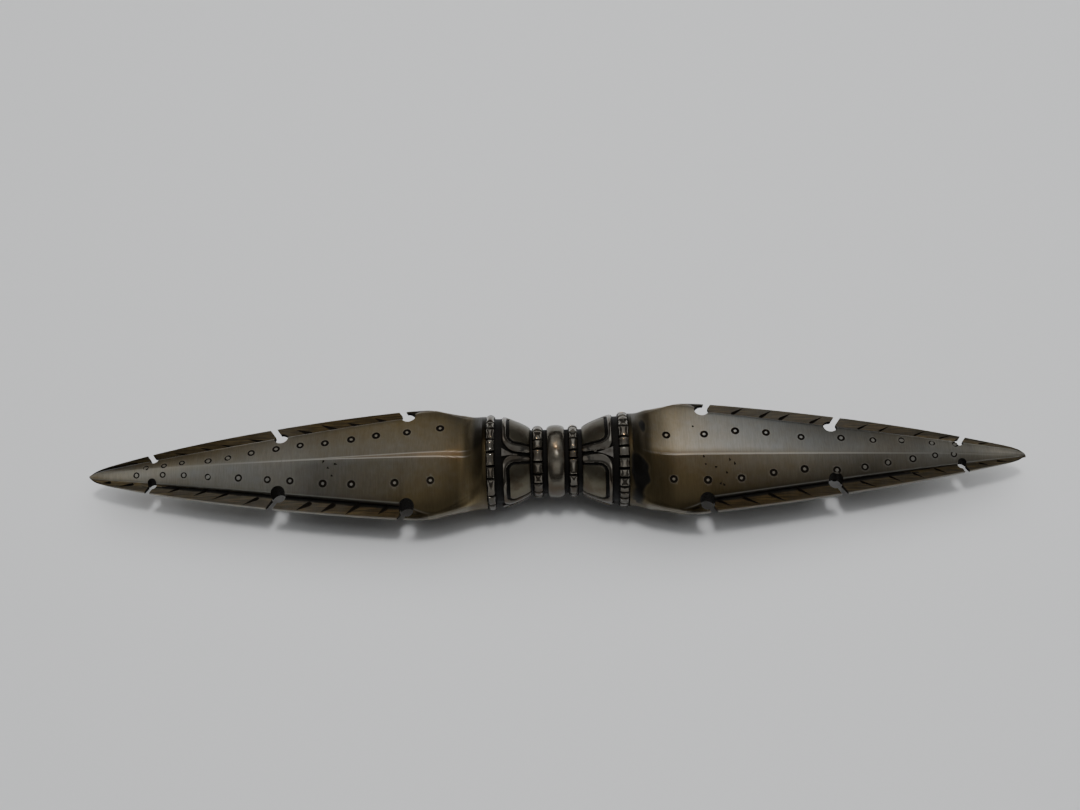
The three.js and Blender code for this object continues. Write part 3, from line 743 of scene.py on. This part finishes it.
def addBlade(blade):
    piece = bladeSkin(blade)
    piece.data.materials.append(materials["blade"])
    cutters = bladeCutters(blade, piece)
    cutters.data.materials.append(materials["cut"])
    cutAway(piece, cutters)
    points = pointsOf(piece)
    s, y = np.abs(points[:, 0]), points[:, 1]
    z = points[:, 2] - droop(s, blade)
    out = np.abs(y)  # distance from the blade's middle line
    wide, lobe = halfWidth(s, blade), lobeWidth(s, blade)
    opened = smooth(opening(s, blade))
    k = out / np.maximum(0.05, lobe)
    onLobe = np.abs(z) > 0.45 * blade["lobeEdgeHeight"] * heightShare(s, blade)
    storeValue(piece, "across", np.where(opened > 0.15, k, np.minimum(k, 1)))
    # finTone here is painted light and shade of the fins, near and far.
    finTone = faceValue(s, y, blade["finTone"])
    # Painted shade that darkens the face towards its edge, or lightens it where the list is below 0.
    edgeShaded = 1 + faceValue(s, y, blade["paintedEdgeShade"]) * (0.55 - np.minimum(k, 1))
    # Painted light and shade of the faces, near and far.
    paintedFaceLight = faceValue(s, y, blade["paintedLight"]) * edgeShaded
    storeValue(piece, "paintedLight", np.where(onLobe, paintedFaceLight, finTone))
    browner = 1 + 0.6 * (np.minimum(k, 1) - 0.35) * smooth((s - 26) / 10) * onLobe
    storeValue(piece, "brown", faceValue(s, y, blade["brown"]) * browner)
    # Grime in the fins' step, partly black patina and partly painted shade, reaching further on the near side.
    stepGrimeAndShadeReach = np.where(y > 0, *wearAndPaintedLight["stepGrimeAndShadeReach"][::-1])
    step = soften((out - lobe - 0.25) / stepGrimeAndShadeReach) * ~onLobe * opened
    sootAndShade = wearAndPaintedLight["grime"] * step
    uneven = 1 + 0.45 * handmade(s, y, seed=blade["seed"], finest=0.6)
    # Black patches at the neck, partly patina and partly painted shade, on the upper face only.
    for at, aside, long, broad, strength in blade["sootAndShadePatches"]:
        away = np.hypot((s - at) / long, (y - aside) / broad) * uneven
        sootAndShade = np.maximum(sootAndShade, strength * (1 - smooth((away - 0.3) / 0.95)) * (z > 0))
    storeValue(piece, "sootAndShade", sootAndShade)
    crest = blade["crestOffset"] * flatness(s, blade)
    plane = planeHalf(s, blade)
    # The ridge's two lighter lines are painted highlights, stronger on one face than the other.
    along = smooth((s - wearAndPaintedLight["ridgeStart"]) / 4) * (1 - 0.75 * smooth((s - 60) / 50))
    along = along * np.where(y > crest, *wearAndPaintedLight["ridge"][::-1])
    lines = soften((np.abs(y - crest) - plane) / wearAndPaintedLight["ridgeReach"]) * along
    # Lighter rim, lip and punch marks: partly rubbed steel, partly painted highlight.
    rim = soften((wide - out) / wearAndPaintedLight["rim"][1]) * wearAndPaintedLight["rim"][0]
    lip = soften((out - lobe) / wearAndPaintedLight["lip"][1]) * onLobe * opened * wearAndPaintedLight["lip"][0]
    away = np.min([np.hypot(s - at, y - aside) for at, aside in blade["punches"]], 0)
    halo = wearAndPaintedLight["halo"][0] * (away < wearAndPaintedLight["halo"][1])
    polish = np.where(away < wearAndPaintedLight["punch"][1], wearAndPaintedLight["punch"][0], halo) * onLobe
    storeValue(piece, "worn", np.max([lines, rim, lip, polish], 0))
    # A painted warm reflection on the flat along the ridge.
    onPlane = (np.abs(y - crest) < plane) * smooth((s - 23) / 3) * (1 - smooth((s - 45) / 20))
    storeValue(piece, "planed", onPlane * blade["paintedWarmSheenShare"])
    shadeRound(piece, 32)
    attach(piece, "root")
    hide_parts(blade["node"])
    print(blade["name"], "made with", len(piece.data.polygons), "faces")


addBlade(leftBlade)
addBlade(rightBlade)

# Hub

spindleBore = 4.65


# Columns side by side: each part is a number, one column, one row or a whole grid.
def sideBySide(rows, *parts):
    return np.concatenate([np.ones((rows, 1)) * part for part in parts], 1)


# Closed rings about the X axis. x and radii give the outside for each angle, and the bore is added on the
# inside. Angle 0 points straight down and a quarter turn points to the far side.
def turnedPiece(name, angles, x, radii, depth, panel, side):
    rows = len(angles)
    loopX = sideBySide(rows, x[:, :1], x, x[:, -1:])
    loopR = sideBySide(rows, spindleBore, radii, spindleBore)
    a = angles[:, None]
    points = np.stack([side * loopX, loopR * np.sin(a), -loopR * np.cos(a)], -1)
    piece = gridPiece(name, points, wrapRows=True, flip=side > 0)
    # Painted shade, 1 on the sides and underside and less on the petals' inner faces.
    high, fall = hubFinish["sideShadeFrom"]
    paintedSideShade = smooth((high + np.cos(a)) / fall) * unit(1.5 - 1.5 * panel)
    for what, values, inside in (("depth", depth, 1), ("panel", panel, 0), ("paintedSideShade", paintedSideShade, 0)):
        storeValue(piece, what, sideBySide(rows, inside, values, inside).ravel())
    piece.data.materials.append(materials["hub"])
    shadeRound(piece, 40)
    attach(piece, "root")
    return piece


# slant, cutSpread and drop (how far a bead is worn down, save at the foot) differ from bead to bead.
anyRing = {
    "slant": 0.05, "cutSpread": (0.8, 1.15), "drop": (0.02, 0.12), "foot": 0.08,
    "sidePower": 2.4, "sideGain": 3.5, "beadSteps": 25, "sideSteps": 29,
}

# cuts are the chisel cuts that can be seen from the front, in degrees from straight up to the far side
leftInnerRing = {
    **anyRing, "node": "left_inner_beaded_ring", "side": -1, "beads": 20, "radius": 10.1, "rootRadius": 9.2,
    "cuts": [34.4, 12.3, -5, -26.5, -46.6, -63.9, -84.2],
    "cutWidth": 0.75, "waist": 0.3, "crown": 0.24, "shoulder": 0.75, "seed": 3,
}
rightInnerRing = {
    **leftInnerRing, "node": "right_inner_beaded_ring", "side": 1, "seed": 4,
    "cuts": [28.6, 14.1, -7.6, -21.4, -49.1, -71, -92.3],
}
leftOuterRing = {
    **anyRing, "node": "left_outer_beaded_ring", "side": -1, "beads": 20, "radius": 13.4, "rootRadius": 12.3,
    "cuts": [32.1, 20.2, 3.6, -12.9, -30, -45.7, -69.8, -87.7],
    "cutWidth": 0.7, "waist": 0.34, "crown": 0.2, "shoulder": 0.6, "seed": 6,
}
rightOuterRing = {
    **anyRing, "node": "right_outer_beaded_ring", "side": 1, "beads": 30, "radius": 13.4, "rootRadius": 12.3,
    "cuts": [39.9, 31.5, 19.7, 3.2, -9.2, -22.4, -36.6, -47.8, -60, -68.8, -78.9, -91.1],
    "cutWidth": 0.85, "waist": 0.2, "crown": 0.16, "shoulder": 0.7, "seed": 8,
}


# Angles of all the cuts, from straight down. Those out of sight are set evenly, and moved on a little
# halfway so that the ring stands on the middle of a bead.
def cutAngles(ring):
    seen = np.array(ring["cuts"])
    hidden = ring["beads"] - len(seen) + 1
    share = np.arange(1, hidden) / hidden
    below = seen[-1] - (360 - seen[0] + seen[-1]) * share + 4 * np.sin(np.pi * share)
    return np.radians(np.sort((180 - np.concatenate([seen, below])) % 360))


# A ring of flat-topped beads. Along a bead the radius falls by crown * u^4 to each end, across the ring by
# shoulder * |v|^p, where p is low in the middle of a bead and high at its ends, so that the tops are
# waisted. A V-shaped cut parts the beads.
def addBeadedRing(name, ring):
    x0, x1 = reachOf(ring["node"])
    made = np.random.default_rng(ring["seed"])
    bounds = cutAngles(ring)
    widths = np.diff(np.append(bounds, bounds[0] + 2 * np.pi))
    u = np.sin(np.linspace(-1, 1, ring["beadSteps"])[:-1] * np.pi / 2)
    angles = (bounds[:, None] + (u[None, :] + 1) / 2 * widths[:, None]).ravel()
    bead = np.repeat(np.arange(ring["beads"]), len(u))
    across = np.tile(u, ring["beads"])[:, None]
    v = np.sin(np.linspace(-1, 1, ring["sideSteps"]) * np.pi / 2)[None, :]

    def perBead(low, high):
        return made.uniform(low, high, ring["beads"])[bead][:, None]

    slant = perBead(-ring["slant"], ring["slant"])
    x = mix(x0, x1, (v + 1) / 2)
    fromCut = (1 - np.abs(across + slant * v)) * (widths[bead] / 2 * ring["radius"])[:, None]
    cutHalf = ring["cutWidth"] / 2 * perBead(*ring["cutSpread"])
    notch = unit(1 - fromCut / cutHalf)
    drop = perBead(*ring["drop"])
    under = np.exp(-((angles[:, None] + np.pi) % (2 * np.pi) - np.pi) ** 2 / ring["foot"])
    top = ring["radius"] - ring["crown"] * np.abs(across) ** 4 - drop * (1 - under)
    power = ring["sidePower"] + ring["sideGain"] * across ** 2
    waisted = ring["waist"] * (1 - across ** 2) * np.abs(v) ** 2
    sides = ring["shoulder"] * np.abs(v) ** power + waisted
    deep = ring["radius"] - ring["rootRadius"]
    radii = np.maximum(top - sides - deep * notch, ring["rootRadius"] - 0.5)
    edge = smooth((sides - 0.42) / 0.3)
    dark = unit(smooth(notch * 1.6) + edge)
    piece = turnedPiece(name, angles, x, radii, dark, 0.15 * np.ones_like(radii), ring["side"])
    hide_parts(ring["node"])


addBeadedRing("leftInnerRing", leftInnerRing)
addBeadedRing("rightInnerRing", rightInnerRing)
addBeadedRing("leftOuterRing", leftOuterRing)
addBeadedRing("rightOuterRing", rightOuterRing)
print("beaded rings made")

anyCup = {
    "bandRadius": 12.1, "lipWidth": 0.3, "baseRadius": 9.2, "neckRadius": 8.8, "rimRadius": 12.9, "flare": 0.72,
    "petals": 4, "petalTurn": 14, "petalGap": 0.8, "petalRelief": 0.8, "petalEdgeRound": 0.55,
    "endBorder": 1.15, "panelGroove": 0.88, "panelRelief": 0.55, "panelCorner": 2.7,
    "tipRelief": 0.2, "tipPower": 1.15, "borderCrown": 0.14, "unevenness": 0.1, "meshSize": (840, 104),
}

# Petal corners and side borders come in pairs: for the petal that follows a joint, and for the one before
# it, which is the upper one from the front. A bridge fills the joint's cut over a stretch from the rim, on the
# side of the petal given. A tip's root and point are set aside towards the petal that follows.
leftCup = {
    **anyCup, "node": "left_lotus_cup", "side": -1,
    "neck": 0.5, "petalLength": 7.7, "petalCorners": [3, 4.3], "sideBorders": [2.1, 2.8],
    "tipLength": 4, "tipSpread": 0.33, "tipRoot": -0.3, "tipAside": 0.35, "bridge": (2.9, 4.5, 0), "seed": 11,
}
rightCup = {
    **anyCup, "node": "right_lotus_cup", "side": 1,
    "neck": 1.1, "petalLength": 8.3, "petalCorners": [4.3, 2.5], "sideBorders": [3, 2.5],
    "tipLength": 4.6, "tipSpread": 0.36, "tipRoot": 0.4, "tipAside": 0, "bridge": (4.2, 5.3, 1), "seed": 12,
}


# Distance inside two straight sides that meet in a rounded corner.
def insideCorner(fromOne, fromOther, corner):
    away = np.hypot(np.maximum(0, corner - fromOne), np.maximum(0, corner - fromOther))
    return np.minimum(np.minimum(fromOne, fromOther), corner - away)


# Carved skin of a lotus cup over angle and distance from the rim. It bulges from base to rim by
# t ^ flare. A petal's edge sinks by a smooth step of the distance inside its outline, its panel is parted
# from its border by a trough, the border is crowned, and a pointed petal stands between two large ones.
def addLotusCup(name, cup):
    x0, x1 = reachOf(cup["node"])
    start = x0 + cup["neck"]
    arc = 2 * np.pi * cup["rimRadius"] / cup["petals"]
    sector = 2 * np.pi / cup["petals"]
    turn = math.radians(cup["petalTurn"])
    turns, rows = cup["meshSize"]
    angles = np.linspace(0, 2 * np.pi, turns, endpoint=False) + turn
    fromEnd = cup["petalLength"] * (1 - np.linspace(0, 1, rows))[None, :]
    shaky = cup["unevenness"] * handmade(angles[:, None] * 5, fromEnd * 0.8, seed=cup["seed"])
    share = ((angles - turn) / sector % 1)[:, None]
    signed = np.where(share < 0.5, share, share - 1) * arc
    fromJoint = np.abs(signed)
    hand = np.where(share < 0.5, 0, 1)
    fromSide = fromJoint - cup["petalGap"] / 2 + shaky
    inside = insideCorner(fromEnd, fromSide, np.array(cup["petalCorners"])[hand])
    edge = 1 - smooth(inside / cup["petalEdgeRound"] + 0.25)
    fromBorder = fromSide - np.array(cup["sideBorders"])[hand]
    intoPanel = insideCorner(fromEnd + shaky - cup["endBorder"], fromBorder, cup["panelCorner"])
    trough = unit(1 - np.abs(intoPanel - cup["panelGroove"] / 2) / (0.62 * cup["panelGroove"]))
    wall = np.minimum(1, 1.7 * trough)
    downTip = fromEnd / cup["tipLength"]
    tipHalf = cup["tipSpread"] * cup["tipLength"] * unit(1 - downTip) ** cup["tipPower"]
    insideTip = tipHalf - np.abs(signed - mix(cup["tipRoot"], cup["tipAside"], downTip))
    onTip = smooth((insideTip + 0.1) / 0.22) * (fromEnd < cup["tipLength"])
    low, high, where = cup["bridge"]
    bridged = smooth((fromEnd - low) / 0.3) * smooth((high - fromEnd) / 0.3) * smooth((1.1 - fromJoint) / 0.5)
    bridged = bridged * (hand == where)
    sunk = np.maximum(cup["petalRelief"] * edge, cup["panelRelief"] * smooth(wall))
    sunk = mix(sunk, np.minimum(sunk, cup["tipRelief"]), np.maximum(onTip, bridged))
    t = 1 - fromEnd / cup["petalLength"]
    crown = cup["borderCrown"] * smooth(inside / 1.1) * smooth(-intoPanel / 0.8)
    skin = mix(cup["baseRadius"], cup["rimRadius"], t ** cup["flare"]) - sunk + crown - cup["borderCrown"]
    x = start + cup["petalLength"] - fromEnd
    # panel is -1 on the pointed petals, which the hub's material paints lighter as a painted highlight.
    panel = smooth((intoPanel - cup["panelGroove"] - 0.02) / 0.12) * (1 - onTip) - onTip
    dark = np.maximum(smooth(edge * 1.5 - 0.25), smooth(wall * 1.5 - 0.4))
    dark = dark * (1 - np.maximum(onTip, bridged))
    end = start + cup["petalLength"] + cup["lipWidth"]
    neck, band = cup["neckRadius"], cup["bandRadius"]
    allX = sideBySide(turns, x0, start, x, end, x1)
    radii = sideBySide(turns, neck, neck, skin, band, band)
    depth = sideBySide(turns, 1, 1, dark, 1, 1)
    panels = sideBySide(turns, 0, 0, panel, 0, 0)
    piece = turnedPiece(name, angles, allX, radii, depth, panels, cup["side"])
    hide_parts(cup["node"])


addLotusCup("leftLotusCup", leftCup)
addLotusCup("rightLotusCup", rightCup)
print("lotus cups made")

knop = {
    "width": 6.9, "neckWidth": 1, "radius": 10.2, "neckRadius": 8.8, "fullness": 0.7, "hammering": 0.1,
    "seed": 21, "satin": 0.5, "turns": 240,
}


# The knop's round: radius rises from its neck by sin(angle) ^ fullness, with slight hammering.
def addKnop():
    half, neck, turns = knop["width"] / 2, knop["neckRadius"], knop["turns"]
    angles = np.linspace(0, 2 * np.pi, turns, endpoint=False)
    around = np.linspace(np.pi, 0, 41)[None, :]
    x = np.cos(around) * (half - knop["neckWidth"])
    rise = np.sin(around) ** knop["fullness"]
    hammered = knop["hammering"] * handmade(
        np.cos(angles)[:, None] * 4, np.sin(angles)[:, None] * 4, x * 0.5, seed=knop["seed"])
    height = knop["radius"] - neck - knop["hammering"]
    radii = neck + height * rise + hammered * rise
    allX = sideBySide(turns, -half, x, half)
    allR = sideBySide(turns, neck, radii, neck)
    depth = sideBySide(turns, 1, smooth((0.5 - rise) / 0.25), 1)
    piece = turnedPiece("centreKnop", angles, allX, allR, depth, np.full_like(depth, knop["satin"]), 1)
    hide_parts("centre_knop")


addKnop()

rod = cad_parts["hub_spindle"]
rod.data.materials.clear()
rod.data.materials.append(materials["rod"])
print("hub made")

# Floor, light and camera

studio = {
    "floorColour": (0.76, 0.765, 0.77, 1), "floorRoughness": 0.55, "floorSize": 6,
    "zenith": (0.085, 0.088, 0.093, 1), "horizon": (0.105, 0.1, 0.094, 1),
}

# Square soft lights that point at the hub: watts, side and place in metres, and colour. The overhead ones are
# for the floor and its shadows, the panels and lamps for reflections.
lights = {
    "overhead": (2.9, 0.13, (0.02, 0.02, 0.94), (1, 1, 1)),
    "overheadWide": (13.2, 1.6, (0.1, 0.38, 1), (0.98, 0.99, 1)),
    "farPanel": (1.1, 0.8, (0, 0.75, 0.75), (0.97, 0.99, 1)),
    "topPanel": (3.8, 2.4, (0, 0, 1.1), (1, 0.99, 0.97)),
    "nearPanel": (1.0, 0.9, (0, -0.9, 0.9), (1, 0.99, 0.97)),
    "leftPanel": (0.3, 0.6, (-1, 0, 0.4), (1, 0.97, 0.93)),
    "rightPanel": (0.3, 0.6, (1, 0, 0.4), (1, 0.97, 0.93)),
    "whiteLamp": (0.45, 0.018, (0, 0.04, 0.88), (1, 1, 1)),
    "warmLamp": (0.35, 0.018, (0.02, 0.37, 0.8), (1, 0.66, 0.36)),
}


def addFloor():
    half = studio["floorSize"] / mm / 2
    corners = [(x * half, y * half, -axisHeight) for x, y in ((-1, -1), (1, -1), (1, 1), (-1, 1))]
    floor = meshPiece("floor", corners, [(0, 1, 2, 3)])
    material = bpy.data.materials.new("paleFloor")
    material.use_nodes = True
    shader = material.node_tree.nodes["Principled BSDF"]
    shader.inputs["Base Color"].default_value = studio["floorColour"]
    shader.inputs["Roughness"].default_value = studio["floorRoughness"]
    floor.data.materials.append(material)


def addLight(name, energy, size, place, colour):
    light = bpy.data.lights.new(name, "AREA")
    light.energy, light.size, light.color = energy, size, colour
    lamp = addObject(name, light)
    lamp.location = place
    aim = Vector((0, 0, axisHeight * mm)) - Vector(place)
    lamp.rotation_euler = aim.to_track_quat("-Z", "Y").to_euler()
    lamp.visible_glossy = not name.startswith("overhead")
    lamp.visible_diffuse = name.startswith("overhead")


# A dim room, a little lighter and warmer near the horizon than overhead.
def addWorld():
    world = bpy.data.worlds.new("studio")
    world.use_nodes = True
    tree = world.node_tree
    place = tree.nodes.new("ShaderNodeTexCoord").outputs["Generated"]
    way = addNode(tree, "ShaderNodeSeparateXYZ", Vector=place)
    lift = ranged(tree, way.outputs["Z"], 0.05, 0.85)
    sky = blend(tree, lift, studio["horizon"], studio["zenith"])
    link(sky, tree.nodes["Background"].inputs["Color"])
    bpy.context.scene.world = world


# The camera looks down at the hub from the front. Its axis is turned until the hub's middle falls on the
# photograph's pixel for it.
view = {
    "imageSize": (1080, 810), "focalPixels": 1622, "hubPixel": (556, 461.3),
    "elevation": 64, "distance": 449.6, "roll": 1.42, "sensor": 36,
}


def addCamera():
    width, height = view["imageSize"]
    lift = math.radians(view["elevation"])
    hub = Vector((0, 0, axisHeight)) * mm
    away = Vector((0, -math.cos(lift), math.sin(lift)))
    camera = bpy.data.cameras.new("camera")
    camera.sensor_width = view["sensor"]
    camera.lens = view["focalPixels"] * view["sensor"] / width
    camera.clip_start = 0.01
    seat = addObject("camera", camera)
    towards = (-away).to_track_quat("-Z", "Y").to_matrix()
    towards = towards @ Matrix.Rotation(math.radians(-view["roll"]), 3, "Z")
    pixel = view["hubPixel"]
    ray = Vector((pixel[0] - width / 2, height / 2 - pixel[1], -view["focalPixels"])).normalized()
    turned = (towards @ ray).rotation_difference(-away).to_matrix()
    seat.matrix_world = Matrix.Translation(hub + away * view["distance"] * mm) @ (turned @ towards).to_4x4()
    bpy.context.scene.camera = seat


addFloor()
for name, values in lights.items():
    addLight(name, *values)
addWorld()
addCamera()
print("studio ready")
